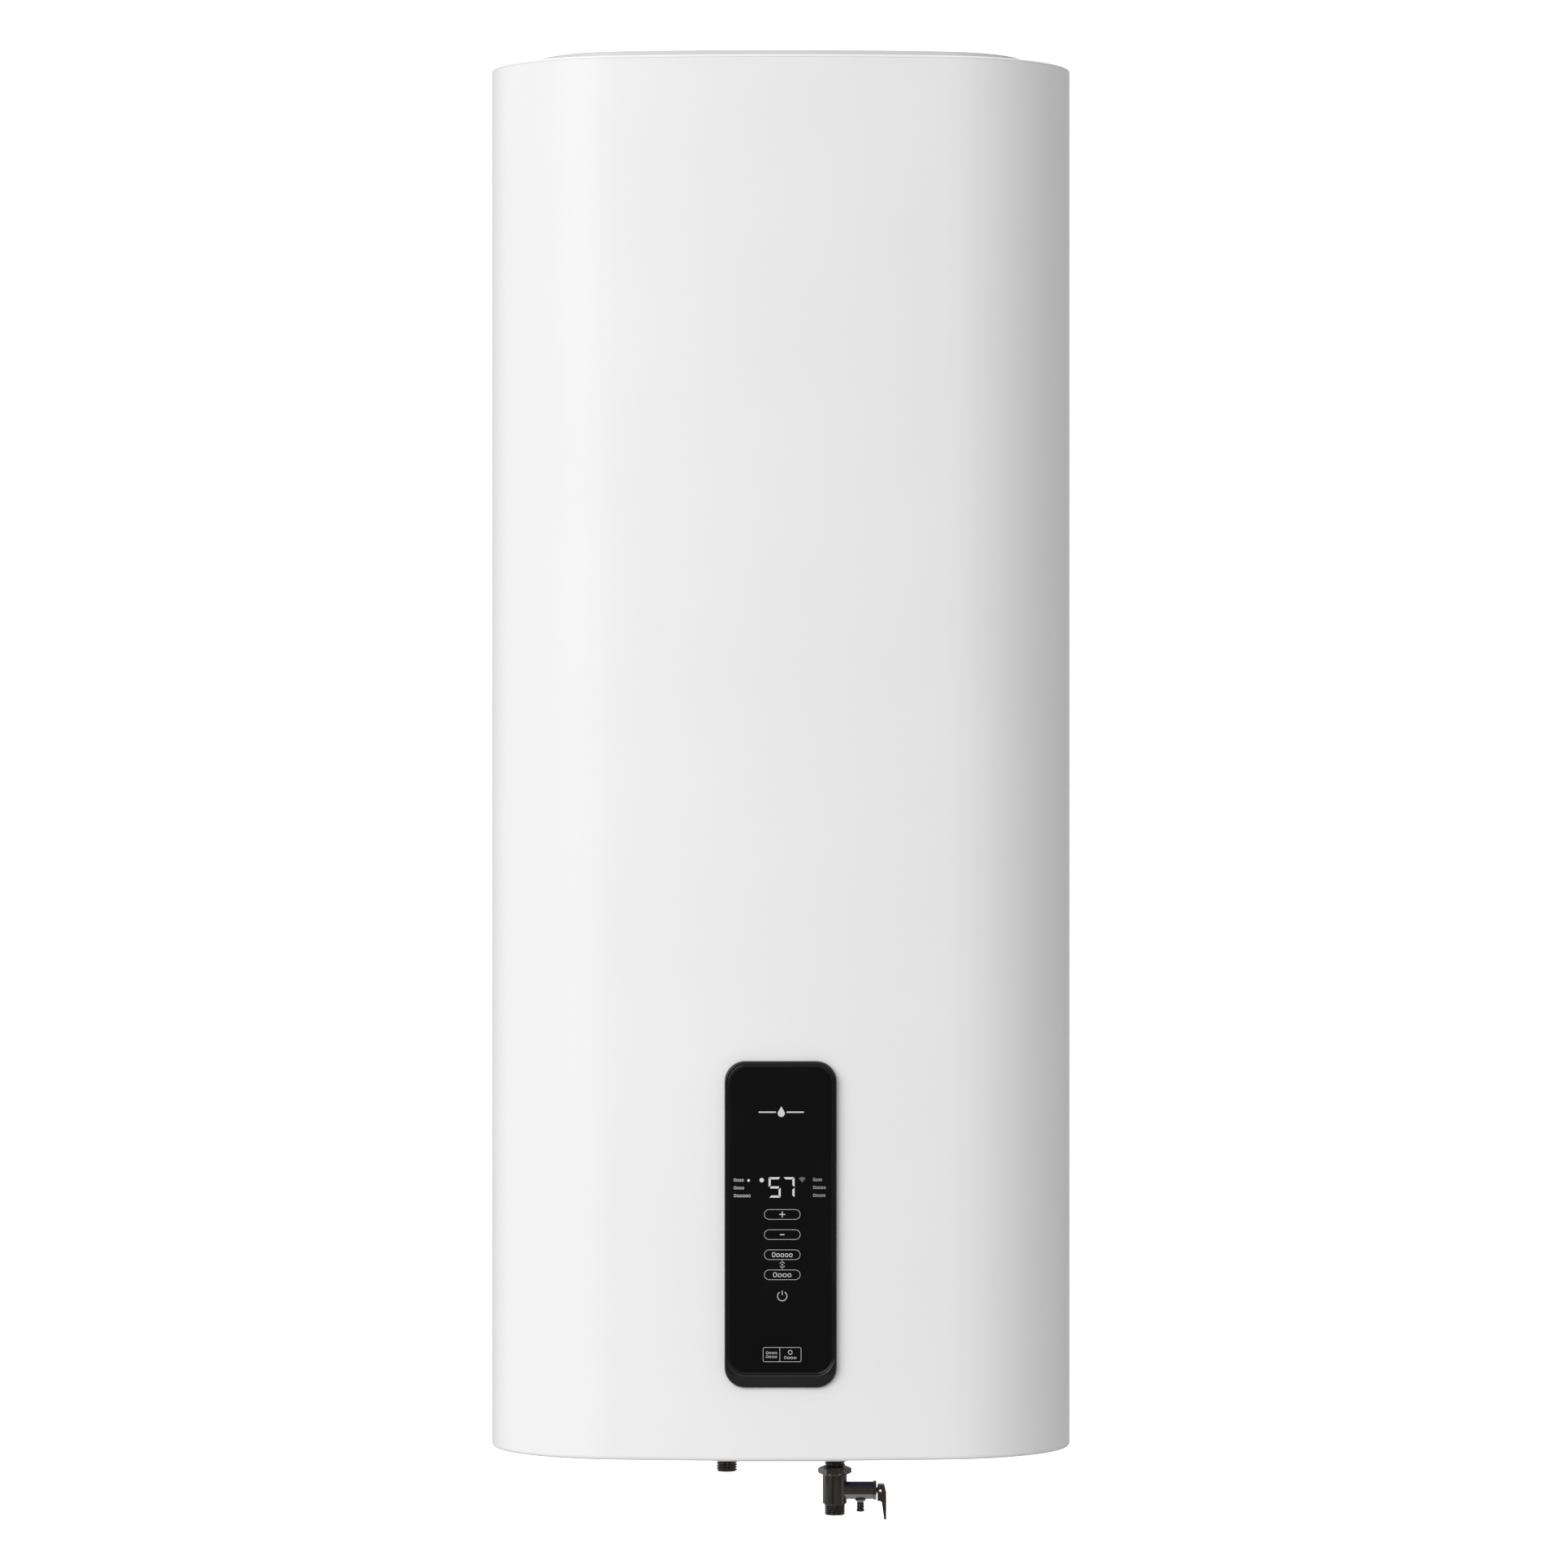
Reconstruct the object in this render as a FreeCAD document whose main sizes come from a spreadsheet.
import FreeCAD, Part
import math
import os
import re

import Sketcher

# A flat, wall-hung electric storage water heater with two tanks side by side, in millimetres.
# +Z is up, the front faces -Y and the wall is the plane y = 0. The origin is midway between the
# upper rail's two slots, on the wall. Names ending in _drop are depths below the casing's bottom
# rim, and names ending in _level are heights above it.
SIZES = {
    # casing
    "casing_width": 570,
    "casing_depth": 300,
    "casing_height": 1354,
    "bottom_rim": -1169,
    "wall_gap": 12,
    "front_corner": 140,
    "rear_corner": 110,
    "flush": 0,
    "sheet": 0.6,
    "seam_lap": 12,
    # end caps, drawn inset from the casing's outline
    "top_lip": 2.7,
    "top_lip_round": 1.8,
    "bottom_lip": 3.4,
    "bottom_lip_round": 3.1,
    "skirt_outside": 1,
    "skirt_inside": 3.2,
    "skirt_height": 15,
    "plateau_inset": 45,
    "plateau_hollow": 47.5,
    "plateau_rise": 9.4,
    "plateau_round": 3,
    "cap_wall": 2.5,
    # cover round the pipe connections
    "cover_width": 140,
    "cover_depth": 200,
    "cover_drop": 5.9,
    "cover_corner": 14,
    "cover_round": 2,
    "cover_opening_width": 132,
    "cover_opening_depth": 150,
    "cover_screw_across": 60,
    "cover_screw_along": 80,
    "ring_radius": 15,
    "ring_thickness": 1,
    "pipe_clearance": 11.6,
    # fasteners
    "screw_radius": 1.6,
    "screw_head_radius": 3.6,
    "screw_head_height": 1.5,
    "screw_length": 9,
    "cross_width": 1,
    "cross_length": 4,
    "cross_depth": 1.2,
    "stud_radius": 4,
    "nut_across_corners": 15,
    "nut_height": 6,
    "bolt_reach": 15,
    # wall rail and hooks
    "rail_length": 420,
    "rail_half_height": 22,
    "rail_sheet": 2.5,
    "lip_gap": 3,
    "lip_top": 36,
    "slot_spacing": 300,
    "slot_length": 30,
    "slot_half_width": 5.5,
    "hook_width": 40,
    "hook_sheet": 3,
    "hook_tongue": 2.2,
    "hook_low": -100,
    "hook_top": 39.4,
    "stud_hole": 4.5,
    "stud_high": -40,
    "stud_low": -80,
    "stud_foot": -1000,
    "spacer_radius": 16,
    # tanks
    "tank_offset": 135,
    "tank_radius": 120,
    "tank_wall": 1.5,
    "knuckle_radius": 25,
    "crown_radius": 200,
    "tank_low": 111,
    "tank_high": 1273,
    "neck_inside": 33,
    "neck_outside": 46,
    "neck_level": 50.5,
    "nipple_offset": 81.7,
    "link_offset": 60,
    # nipples and inner pipes
    "thread_radius": 10.4775,
    "thread_chamfer": 1,
    "pipe_radius": 10,
    "pipe_bore": 7.5,
    "nipple_top_level": 94,
    "nipple_thread_drop": 6.5,
    "outlet_end_drop": 26.5,
    "inlet_end_drop": 33.8,
    "diffuser_radius": 13,
    "diffuser_low_level": 86,
    "diffuser_top_level": 102,
    "diffuser_roof": 3,
    "diffuser_window": 4,
    "draw_radius": 7.45,
    "draw_bore": 6,
    "draw_low_level": 60,
    "draw_top_level": 1292,
    "link_radius": 8,
    "link_bore": 6.6,
    "link_bend": 16,
    "link_top_level": 1332,
    "link_foot_level": 1298,
    "dip_radius": 9.6,
    "dip_low_level": 140,
    "dip_top_level": 1306,
    # heater flanges
    "gasket_thickness": 2.5,
    "flange_thickness": 5,
    "bolt_circle": 39.5,
    "bolt_hole_depth": 8.6,
    "element_spread": 11,
    "element_forward": 14,
    "element_radius": 4,
    "element_top_level": 320,
    "element_low_level": 36,
    "terminal_radius": 1.5,
    "terminal_length": 8,
    "anode_across": -19,
    "anode_along": -6,
    "anode_radius": 9,
    "anode_low_level": 66,
    "anode_length": 300,
    "anode_stud_level": 38,
    "well_across": 14,
    "well_along": -14,
    "well_radius": 5,
    "well_bore": 3.8,
    "well_low_level": 40,
    "well_top_level": 330,
    "probe_radius": 3.6,
    "probe_length": 150,
    # thermal cut-out and its reset button
    "cutout_width": 30,
    "cutout_depth": 24,
    "cutout_low_level": 22,
    "cutout_top_level": 36,
    "button_radius": 3,
    "button_bore": 3.06,
    "button_bore_depth": 8,
    "button_proud": 3,
    "button_length": 9,
    # electronics bay in the foam
    "foam_inset": 1.5,
    "foam_low_level": 20,
    "foam_top_gap": 4,
    "bay_half_width": 50,
    "bay_rear": 88,
    "bay_top_level": 400,
    "well_bay_half_width": 215,
    "well_bay_front": 90,
    "well_bay_rear": 60,
    "well_bay_top_level": 56,
    "board_forward": 92,
    "board_width": 90,
    "board_height": 150,
    "board_thickness": 1.6,
    "board_level": 110,
    "tray_width": 96,
    "tray_height": 166,
    "tray_thickness": 2,
    "relay_width": 29,
    "relay_height": 13,
    "relay_depth": 16,
    "relay_level": 150,
    "relay_spread": 22,
    "terminal_block_width": 60,
    "terminal_block_height": 16,
    "terminal_block_depth": 14,
    "terminal_block_level": 55,
    "lead_radius": 2,
    # cable gland
    "gland_along": 60,
    "gland_radius": 8,
    "gland_bore": 4.5,
    "gland_flange": 11,
    "gland_nut": 9.5,
    "gland_length": 12,
    # control panel; levels are above the bottom rim
    "panel_level": 227.75,
    "panel_width": 108.2,
    "panel_height": 315.1,
    "panel_corner": 20,
    "panel_proud": 6,
    "panel_bevel": 2.3,
    "panel_opening_width": 70,
    "panel_opening_height": 262,
    "gasket_gap": 0.8,
    "gasket_inset": 1.5,
    "gasket_width": 7.5,
    "glass_level": 232.95,
    "glass_width": 97,
    "glass_height": 294.5,
    "glass_corner": 14.5,
    "glass_thickness": 2,
    "glass_sunk": 0.2,
    "glass_gap": 0.2,
    "window_width": 90,
    "window_height": 290,
    "window_corner": 8,
    "back_flange_width": 86,
    "back_flange_height": 284,
    "back_width": 72,
    "back_height": 264,
    "back_depth": 18,
    "back_wall": 2,
    "back_corner": 4,
    "panel_screw_across": 39,
    "panel_screw_along": 135,
    "display_board_width": 68,
    "display_board_height": 258,
    "pad_gap": 3,
    "display_width": 46,
    "display_height": 24,
    "display_level": 263.9,
    "pad_radius": 4.5,
    "pad_top_level": 237.9,
    "pad_pitch": 19.35,
    "wireless_width": 18,
    "wireless_height": 26,
    "wireless_depth": 3,
    "wireless_level": 330,
    # safety valve; measured from the crossing of its barrel's and its branch's axes
    "nipple_across": 53.3,
    "branch_drop": 45.2,
    "hex_top": 23.1,
    "hex_height": 6.6,
    "hex_across_corners": 33,
    "hex_chamfer": 1,
    "hex_cone_height": 2,
    "hex_cone_low_radius": 14.3,
    "hex_cone_top_radius": 11.3,
    "barrel_radius": 12,
    "barrel_low": -13,
    "barrel_chamfer": 1,
    "thread_low": -24.3,
    "thread_neck": 1.4,
    "end_chamfer": 0.9,
    "socket_low": 11.3,
    "chamber_radius": 7.5,
    "check_seat": -18.7,
    "inlet_bore": 5.5,
    "branch_radius": 8.65,
    "branch_end": 38.1,
    "relief_seat": 14.5,
    "relief_port": 4.5,
    "relief_chamber": 6.75,
    "drain_across": 25.3,
    "drain_cone_top": -7,
    "drain_cone_radius": 5.5,
    "drain_cone_low": -10.6,
    "drain_radius": 3.9,
    "drain_end": -21,
    "drain_bore": 2,
    "bonnet_radius": 9.55,
    "bonnet_face": 41,
    "bonnet_shank": 31.5,
    "rod_radius": 3,
    "rod_bore": 3.06,
    "disc_radius": 6.2,
    "disc_gap": 0.3,
    "disc_thickness": 2,
    "head_thickness": 2,
    "relief_wire": 0.65,
    "relief_coil": 4.6,
    "relief_turns": 5,
    "spring_gap": 0.15,
    "cone_radius": 6.9,
    "cone_seal_thickness": 1.2,
    "cone_thickness": 1.8,
    "cone_boss": 2.95,
    "cone_stem": 1.8,
    "cone_stem_top": -5,
    "retainer_low": -9,
    "retainer_thickness": 1.5,
    "retainer_bore": 1.86,
    "retainer_window": 1.5,
    "retainer_window_circle": 4.9,
    "check_wire": 0.3,
    "check_coil": 4.5,
    "check_turns": 4,
    # hand lever, from the same crossing
    "pin_across": 44.9,
    "pin_radius": 1.7,
    "pin_hole": 1.25,
    "pin_running": 1.75,
    "lever_width": 13,
    "lever_left": 42.1,
    "lever_top": 6.3,
    "lever_top_right": 48.8,
    "lever_right": 50.7,
    "lever_shoulder": -1.7,
    "lever_head_low": -10,
    "lever_tail_left": 46.1,
    "lever_tip_left": 48.6,
    "lever_tip": -28.4,
    "lever_heel_round": 1.2,
    "lever_throat_round": 2.2,
    "lever_tip_round": 0.9,
    "fork_width": 6.8,
    "fork_right": 48.2,
    "fork_low": -3.4,
}

# The middle of the casing's depth, and the height of the crossing of the valve's two axes.
MID_Y = "-(wall_gap + casing_depth/2)"
VALVE_Z = "bottom_rim - branch_drop"
# The front's shallow arc meets both front corners' arcs without a kink.
FRONT_ARC = (
    "((casing_width/2 - front_corner)^2 + casing_depth^2/4 - front_corner^2)"
    "/(casing_depth - 2*front_corner)"
)
# How far a dished end's crown centre lies beyond its knuckle's centre.
CROWN_RISE = "sqrt((crown_radius - knuckle_radius)^2 - (tank_radius - knuckle_radius)^2)"
RIGHT = 1
LEFT = -1
PI = math.pi
MATCH = 1e-4

doc = FreeCAD.newDocument("flat_water_heater")
sheet = doc.addObject("Spreadsheet::Sheet", "Dim")
for row, (alias, number) in enumerate(SIZES.items(), 1):
    sheet.set(f"A{row}", alias)
    sheet.set(f"B{row}", str(number))
    sheet.setAlias(f"B{row}", alias)
doc.recompute()

PIECES = []


# ---------------------------------------------------------------- helpers


def dim(text):
    """The expression, with each size name read from the sheet."""
    return re.sub(r"[a-z_]+", lambda found: ("Dim." if found[0] in SIZES else "") + found[0], text)


def bind(thing, **sizes):
    for name, text in sizes.items():
        thing.setExpression(name, dim(text))


def place(thing, x="0", y="0", z="0", axis=(0, 0, 1), angle=0):
    thing.Placement = FreeCAD.Placement(FreeCAD.Vector(), FreeCAD.Rotation(FreeCAD.Vector(*axis), angle))
    for letter, text in zip("xyz", (x, y, z)):
        thing.setExpression(f"Placement.Base.{letter}", dim(text))


def keep(thing, label):
    """Names a finished sub-part, so that it is checked and written."""
    thing.Label = label
    PIECES.append(thing)
    return thing


def body(label, x="0", y="0", z="0", kept=True):
    made = doc.addObject("PartDesign::Body", label)
    place(made, x, y, z)
    if kept:
        keep(made, label)
    return made


def sketch(owner, role, lift="0"):
    """A sketch on one of the body's own planes, lifted along the plane's normal."""
    made = owner.newObject("Sketcher::SketchObject", owner.Name + "_sketch")
    support = [plane for plane in owner.Origin.OriginFeatures if plane.Role == role + "_Plane"]
    made.AttachmentSupport = (support[0], [""])
    made.MapMode = "FlatFace"
    made.setExpression("AttachmentOffset.Base.z", dim(lift))
    return made


def fix(drawing, kind, *where, size):
    """A dimension of the sketch, bound to the sheet."""
    number = drawing.addConstraint(Sketcher.Constraint(kind, *where))
    drawing.setExpression(f"Constraints[{number}]", dim(size))


def fix_point(drawing, geometry, point, x, y):
    drawn = drawing.getPoint(geometry, point)
    fix(drawing, "DistanceX", -1, 1, geometry, point, drawn.x, size=x)
    fix(drawing, "DistanceY", -1, 1, geometry, point, drawn.y, size=y)


def fix_level(drawing, geometry, point, level):
    fix(drawing, "DistanceY", -1, 1, geometry, point, drawing.getPoint(geometry, point).y, size=level)


def polygon(drawing, corners):
    """A closed outline through corners, each a pair of expressions, counter-clockwise."""
    count = len(corners)
    turn = 2*PI/count
    points = [FreeCAD.Vector(math.cos(turn*n), math.sin(turn*n), 0) for n in range(count)]
    first = drawing.GeometryCount
    for n in range(count):
        drawing.addGeometry(Part.LineSegment(points[n], points[(n + 1) % count]))
    for n in range(count):
        drawing.addConstraint(Sketcher.Constraint("Coincident", first + n, 2, first + (n + 1) % count, 1))
    for n, (x, y) in enumerate(corners):
        fix_point(drawing, first + n, 1, x, y)
    return drawing


def rectangle(drawing, x, y, width, height):
    """A rectangle centred on x, y."""
    left, right = f"({x}) - ({width})/2", f"({x}) + ({width})/2"
    low, high = f"({y}) - ({height})/2", f"({y}) + ({height})/2"
    return polygon(drawing, [(left, low), (right, low), (right, high), (left, high)])


def circle(drawing, x, y, radius):
    number = drawing.addGeometry(Part.Circle(FreeCAD.Vector(), FreeCAD.Vector(0, 0, 1), 1))
    fix_point(drawing, number, 3, x, y)
    fix(drawing, "Radius", number, 1.0, size=radius)
    return drawing


def arc(x, y, radius, start, end):
    return Part.ArcOfCircle(Part.Circle(FreeCAD.Vector(x, y, 0), FreeCAD.Vector(0, 0, 1), radius), start, end)


def join_smoothly(drawing, first, count, closed=True):
    """Each piece of geometry leaves the one before it without a kink."""
    last = count if closed else count - 1
    for n in range(last):
        follower = first + (n + 1) % count
        drawing.addConstraint(Sketcher.Constraint("Tangent", first + n, 2, follower, 1))


def slot(drawing, x, half_length, half_width):
    """A round-ended slot along the sketch's first axis, centred on x; sizes name cells, x a number."""
    reach = SIZES[half_length]/2 - SIZES[half_width]
    radius = SIZES[half_width]
    middle = x*SIZES["slot_spacing"]/2
    first = drawing.GeometryCount
    right, left = middle + reach, middle - reach
    drawing.addGeometry(arc(right, 0, radius, -PI/2, PI/2))
    drawing.addGeometry(Part.LineSegment(FreeCAD.Vector(right, radius, 0), FreeCAD.Vector(left, radius, 0)))
    drawing.addGeometry(arc(left, 0, radius, PI/2, 3*PI/2))
    drawing.addGeometry(Part.LineSegment(FreeCAD.Vector(left, -radius, 0), FreeCAD.Vector(right, -radius, 0)))
    join_smoothly(drawing, first, 4)
    centre = f"{x}*slot_spacing/2"
    fix_point(drawing, first, 3, f"{centre} + {half_length}/2 - {half_width}", "0")
    fix_point(drawing, first + 2, 3, f"{centre} - {half_length}/2 + {half_width}", "0")
    fix(drawing, "Radius", first, radius, size=half_width)


def oval(drawing, inset):
    """The casing's outline in plan, drawn inset: shallow front, round corners and a flat back."""
    size = SIZES
    gap = size[inset]
    across = size["casing_width"]/2
    back = size["casing_depth"]/2
    corner, rear = size["front_corner"], size["rear_corner"]
    side = across - corner
    big = (side**2 + back**2 - corner**2)/(2*(back - corner))
    half_turn = math.atan2(side, big - back)
    rear_x, rear_y = across - rear, back - rear
    point = FreeCAD.Vector
    first = drawing.GeometryCount
    for piece in (
        arc(0, big - back, big - gap, -PI/2 - half_turn, -PI/2 + half_turn),
        arc(side, 0, corner - gap, -PI/2 + half_turn, 0),
        Part.LineSegment(point(across - gap, 0, 0), point(across - gap, rear_y, 0)),
        arc(rear_x, rear_y, rear - gap, 0, PI/2),
        Part.LineSegment(point(rear_x, back - gap, 0), point(-rear_x, back - gap, 0)),
        arc(-rear_x, rear_y, rear - gap, PI/2, PI),
        Part.LineSegment(point(gap - across, rear_y, 0), point(gap - across, 0, 0)),
        arc(-side, 0, corner - gap, PI, 3*PI/2 - half_turn),
    ):
        drawing.addGeometry(piece)
    join_smoothly(drawing, first, 8)
    for number, sign in ((1, ""), (7, "-")):
        fix_point(drawing, first + number, 3, f"{sign}(casing_width/2 - front_corner)", "0")
        fix(drawing, "Radius", first + number, corner - gap, size=f"front_corner - {inset}")
    for number, sign in ((3, ""), (5, "-")):
        rear_middle = "casing_depth/2 - rear_corner"
        fix_point(drawing, first + number, 3, f"{sign}(casing_width/2 - rear_corner)", rear_middle)
        fix(drawing, "Radius", first + number, rear - gap, size=f"rear_corner - {inset}")
    fix(drawing, "Radius", first, big - gap, size=f"{FRONT_ARC} - {inset}")
    return drawing


def dished_profile(drawing, inset):
    """Half of a tank's outline from its axis out, up and back: crown, knuckle, side, knuckle, crown."""
    size = SIZES
    gap = size[inset]
    radius, knuckle, crown = size["tank_radius"], size["knuckle_radius"], size["crown_radius"]
    side = radius - knuckle
    rise = math.sqrt((crown - knuckle)**2 - side**2)
    low, high = size["tank_low"], size["tank_high"]
    turn = math.atan2(side, rise)
    point = FreeCAD.Vector
    first = drawing.GeometryCount
    for piece in (
        arc(0, low + rise, crown - gap, -PI/2, -PI/2 + turn),
        arc(side, low, knuckle - gap, -PI/2 + turn, 0),
        Part.LineSegment(point(radius - gap, low, 0), point(radius - gap, high, 0)),
        arc(side, high, knuckle - gap, 0, PI/2 - turn),
        arc(0, high - rise, crown - gap, PI/2 - turn, PI/2),
    ):
        drawing.addGeometry(piece)
    join_smoothly(drawing, first, 5, closed=False)
    for number, end, level in ((0, 1, f"tank_low + {CROWN_RISE}"), (4, 2, f"tank_high - {CROWN_RISE}")):
        drawing.addConstraint(Sketcher.Constraint("PointOnObject", first + number, 3, -2))
        drawing.addConstraint(Sketcher.Constraint("PointOnObject", first + number, end, -2))
        fix_level(drawing, first + number, 3, level)
        fix(drawing, "Radius", first + number, crown - gap, size=f"crown_radius - {inset}")
    for number, level in ((1, "tank_low"), (3, "tank_high")):
        fix(drawing, "Radius", first + number, knuckle - gap, size=f"knuckle_radius - {inset}")
        fix_level(drawing, first + number, 3, level)
    return first


def volume_of(owner):
    doc.recompute()
    return owner.Shape.Volume if owner.Tip and not owner.Shape.isNull() else 0


def grown(owner, feature):
    if "Invalid" in feature.State or "Error" in feature.State:
        raise RuntimeError(f"{owner.Label}: {feature.Name} failed")
    return feature


def pad(owner, profile, length, down=False, both=False):
    before = volume_of(owner)
    made = owner.newObject("PartDesign::Pad", owner.Name + "_pad")
    made.Profile = profile
    made.Reversed = down
    if both:
        made.SideType = "Symmetric"
    bind(made, Length=length)
    if volume_of(owner) <= before:
        raise RuntimeError(f"{owner.Label}: {made.Name} adds nothing")
    return grown(owner, made)


def pocket(owner, profile, length=None, up=False):
    """Cuts down by length, up by length, or, without one, right through both ways."""
    before = volume_of(owner)
    made = owner.newObject("PartDesign::Pocket", owner.Name + "_pocket")
    made.Profile = profile
    made.Reversed = up
    if length is None:
        made.Type = "ThroughAll"
        made.SideType = "Symmetric"
    else:
        bind(made, Length=length)
    if volume_of(owner) >= before:
        raise RuntimeError(f"{owner.Label}: {made.Name} cuts nothing")
    return grown(owner, made)


def revolve(owner, profile, about="V_Axis", cut=False):
    before = volume_of(owner)
    kind = "Groove" if cut else "Revolution"
    made = owner.newObject(f"PartDesign::{kind}", f"{owner.Name}_{kind.lower()}")
    made.Profile = profile
    made.ReferenceAxis = (profile, [about])
    made.Angle = 360
    after = volume_of(owner)
    if (after < before) != cut:
        raise RuntimeError(f"{owner.Label}: {made.Name} changes nothing")
    return grown(owner, made)


def turned(label, corners, x="0", y="0", z="0", about="V_Axis", kept=True):
    """A piece turned on a lathe: corners are (distance, height), or (length, distance) about H_Axis."""
    made = body(label, x, y, z, kept)
    revolve(made, polygon(sketch(made, "XZ"), corners), about)
    return made


def tube_corners(inside, outside, low, high):
    return [(inside, low), (outside, low), (outside, high), (inside, high)]


def soften(owner, radius, wanted, kind="Fillet"):
    """Rounds or chamfers the edges that wanted picks."""
    doc.recompute()
    tip = owner.Tip
    names = [f"Edge{n}" for n, edge in enumerate(tip.Shape.Edges, 1) if wanted(edge)]
    if not names:
        raise RuntimeError(f"{owner.Label}: no edge to soften")
    made = owner.newObject(f"PartDesign::{kind}", f"{owner.Name}_{kind.lower()}")
    made.Base = (tip, names)
    bind(made, **{"Radius" if kind == "Fillet" else "Size": radius})
    doc.recompute()
    return grown(owner, made)


def along(axis):
    """Picks straight edges that run along an axis, 0 for X, 1 for Y or 2 for Z."""

    def wanted(edge):
        if not isinstance(edge.Curve, Part.Line):
            return False
        return abs(abs(edge.Curve.Direction[axis]) - 1) < MATCH

    return wanted


def at_level(level):
    """Picks the edges that lie at one height."""

    def wanted(edge):
        box = edge.BoundBox
        return abs(box.ZMin - level) < MATCH and abs(box.ZMax - level) < MATCH

    return wanted


def near(edge, x, z):
    """Whether an edge along Y passes through x, z of its body."""
    middle = edge.CenterOfMass
    return along(1)(edge) and abs(middle.x - x) < MATCH and abs(middle.z - z) < MATCH


def polar(owner, feature, profile, count):
    made = owner.newObject("PartDesign::PolarPattern", owner.Name + "_polar")
    made.Originals = [feature]
    made.Axis = (profile, ["N_Axis"])
    made.Angle = 360
    made.Occurrences = count
    owner.Tip = made
    doc.recompute()
    return grown(owner, made)


def box(label, x, y, z, width, depth, height, kept=True):
    """A block centred on x, y, z."""
    made = doc.addObject("Part::Box", label)
    bind(made, Length=width, Width=depth, Height=height)
    place(made, f"({x}) - ({width})/2", f"({y}) - ({depth})/2", f"({z}) - ({height})/2")
    return keep(made, label) if kept else made


def rod(label, x, y, z, radius, length, kept=True, axis=(0, 0, 1), angle=0):
    """A round bar that starts at x, y, z and runs along Z before it is turned about axis."""
    made = doc.addObject("Part::Cylinder", label)
    bind(made, Radius=radius, Height=length)
    place(made, x, y, z, axis, angle)
    return keep(made, label) if kept else made


def fuse(label, shapes, kept=False):
    made = doc.addObject("Part::MultiFuse", label)
    made.Shapes = shapes
    return keep(made, label) if kept else made


def cut(label, base, tool, kept=False):
    made = doc.addObject("Part::Cut", label)
    made.Base = base
    made.Tool = tool
    return keep(made, label) if kept else made


def group(label, members):
    """Identical loose pieces that share one node, each still a solid of its own."""
    made = doc.addObject("Part::Compound", label)
    made.Links = members
    return keep(made, label)


def screw(name, x, y, z, axis, angle, length="screw_length"):
    """A cross-head screw. Before it is turned, its head's underside is at z and its shank runs up."""
    head = rod(name + "_head", "0", "0", "-screw_head_height", "screw_head_radius",
               "screw_head_height", kept=False)
    shank = rod(name + "_shank", "0", "0", "0", "screw_radius", length, kept=False)
    recess_level = "-screw_head_height + cross_depth/2"
    first = box(name + "_slot", "0", "0", recess_level, "cross_length", "cross_width", "cross_depth",
                kept=False)
    second = box(name + "_cross", "0", "0", recess_level, "cross_width", "cross_length", "cross_depth",
                 kept=False)
    made = cut(name, fuse(name + "_blank", [head, shank]), fuse(name + "_recess", [first, second]))
    place(made, x, y, z, axis, angle)
    return made


def nut(name, x, y, z, axis, angle, height="nut_height", bore="stud_radius"):
    """A hexagon nut that starts at x, y, z and runs along Z before it is turned."""
    hexagon = doc.addObject("Part::Prism", name + "_hexagon")
    hexagon.Polygon = 6
    bind(hexagon, Circumradius="nut_across_corners/2", Height=height)
    made = cut(name, hexagon, rod(name + "_bore", "0", "0", "0", bore, height, kept=False))
    place(made, x, y, z, axis, angle)
    return made


TO_FRONT = ((1, 0, 0), 90)  # a piece made along +Z points along -Y
TO_WALL = ((1, 0, 0), -90)  # a piece made along +Z points along +Y
UPRIGHT = ((0, 0, 1), 0)


# ---------------------------------------------------------------- casing and caps


def casing_front():
    shell = body("casing_front", y=MID_Y, z="bottom_rim + bottom_lip")
    walls = oval(oval(sketch(shell, "XY"), "flush"), "sheet")
    pad(shell, walls, "casing_height - bottom_lip - top_lip")
    pocket(shell, rectangle(sketch(shell, "XY"), "0", "casing_depth/2", "2*casing_width", "casing_depth"))
    window = rectangle(sketch(shell, "XZ"), "0", "panel_level - bottom_lip", "window_width", "window_height")
    pocket(shell, window)
    soften(shell, "window_corner", along(1))


def casing_rear():
    shell = body("casing_rear", y=MID_Y, z="bottom_rim + bottom_lip")
    height = "casing_height - bottom_lip - top_lip"
    walls = oval(oval(sketch(shell, "XY"), "flush"), "sheet")
    pad(shell, walls, height)
    pocket(shell, rectangle(sketch(shell, "XY"), "0", "-casing_depth/2", "2*casing_width", "casing_depth"))
    # the seam's inner strips, which lie behind the front shell's side edges
    lap = sketch(shell, "XY", "skirt_height + 1")
    drop = "(front_corner - sqrt(front_corner^2 - seam_lap^2))"
    outside, inside = "casing_width/2 - sheet", "casing_width/2 - 2*sheet"
    for sign in ("", "-"):
        polygon(lap, [
            (f"{sign}({outside} - {drop})", "-seam_lap"),
            (f"{sign}({outside})", "0"),
            (f"{sign}({outside})", "seam_lap"),
            (f"{sign}({inside})", "seam_lap"),
            (f"{sign}({inside})", "0"),
            (f"{sign}({inside} - {drop})", "-seam_lap"),
        ])
    pad(shell, lap, f"{height} - 2*(skirt_height + 1)")
    holes = sketch(shell, "XZ")
    for sign in ("", "-"):
        for level in ("stud_high", "stud_low", "stud_foot"):
            circle(holes, f"{sign}tank_offset", f"{level} - bottom_rim - bottom_lip", "stud_hole")
        for level in ("skirt_height/2", f"{height} - skirt_height/2"):
            circle(holes, f"{sign}tank_offset", level, "screw_radius")
    pocket(shell, holes)


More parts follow.
